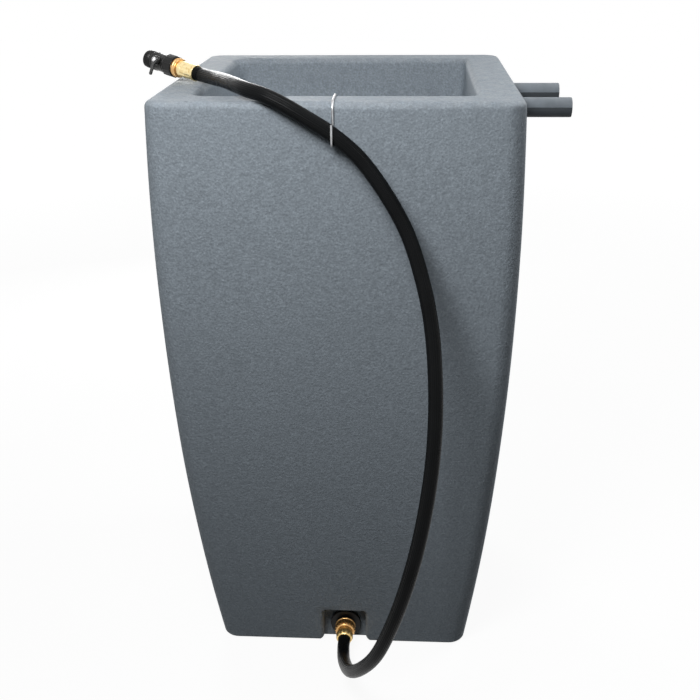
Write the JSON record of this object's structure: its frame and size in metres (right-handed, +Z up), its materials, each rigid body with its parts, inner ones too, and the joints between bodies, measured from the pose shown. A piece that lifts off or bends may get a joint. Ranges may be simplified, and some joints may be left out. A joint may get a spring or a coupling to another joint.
{
  "type": "rain barrel",
  "caption": "Tall square hollow tank with bowed sides, a catch basin in its top, overflow pipes, a foot outlet and a short hose with a lever shut-off valve.",
  "frame": {"origin": "middle of the tank's flat base, on the ground", "axes": "+Z up; -Y towards the front, where the outlet and hose are; +X towards the side with the overflow pipes"},
  "size_m": [0.6379, 0.7222, 0.9487],
  "materials": {
    "stone_grey_plastic": "matte moulded plastic, blue-grey with fine stone speckle",
    "pipe_plastic": "plain matte grey",
    "black_plastic": "satin moulded black",
    "valve_plastic": "satin moulded black, faintly grained",
    "lever_plastic": "satin dark grey",
    "black_rubber": "matte black rubber",
    "hose_rubber": "smooth black with a soft sheen",
    "brass": "machined and lightly polished",
    "steel": "galvanised",
    "screen_mesh": "fine woven wire",
    "seat_plastic": "smooth white"
  },
  "bodies": {
    "tank": {"barrel_shell": "stone_grey_plastic", "overflow_pipe_front": "pipe_plastic", "overflow_pipe_rear": "pipe_plastic", "overflow_grommet_front": "black_rubber", "overflow_grommet_rear": "black_rubber", "outlet_body": "black_plastic", "outlet_gasket": "black_rubber", "outlet_locknut": "black_plastic", "lower_hose_washer": "black_rubber", "lower_coupling_tail": "brass", "lower_ferrule": "brass", "hose": "hose_rubber", "upper_ferrule": "brass", "upper_coupling": "brass", "upper_hose_washer": "black_rubber", "valve_body": "valve_plastic", "valve_seat_inner": "seat_plastic", "valve_seat_outer": "seat_plastic", "valve_stem_seal": "black_rubber", "hose_hook": "steel"},
    "inlet_screen": {"inlet_screen_frame": "black_plastic", "inlet_screen_mesh": "screen_mesh"},
    "coupling_nut": {"lower_coupling_nut": "brass"},
    "swivel_collar": {"valve_collar": "valve_plastic"},
    "lever": {"valve_lever": "lever_plastic", "lever_screw": "steel", "valve_stem": "steel", "valve_ball": "steel"}
  },
  "joints": [
    {"name": "lever_turn", "type": "hinge", "parent": "tank", "child": "lever", "pos_m": [-0.26896, -0.0429, 0.93133], "axis": [0.4753, 0.7978, -0.371], "range_deg": [0, 90]},
    {"name": "collar_spin", "type": "hinge", "parent": "tank", "child": "swivel_collar", "pos_m": [-0.25205, -0.05431, 0.92846], "axis": [-0.821, 0.5538, 0.1392], "continuous": true},
    {"name": "coupling_spin", "type": "hinge", "parent": "tank", "child": "coupling_nut", "pos_m": [0.005, -0.21, 0.03], "axis": [0, -1, 0], "continuous": true},
    {"name": "screen_lift", "type": "slide", "parent": "tank", "child": "inlet_screen", "axis": [0, 0, 1], "range_m": [0, 0.16]}
  ]
}
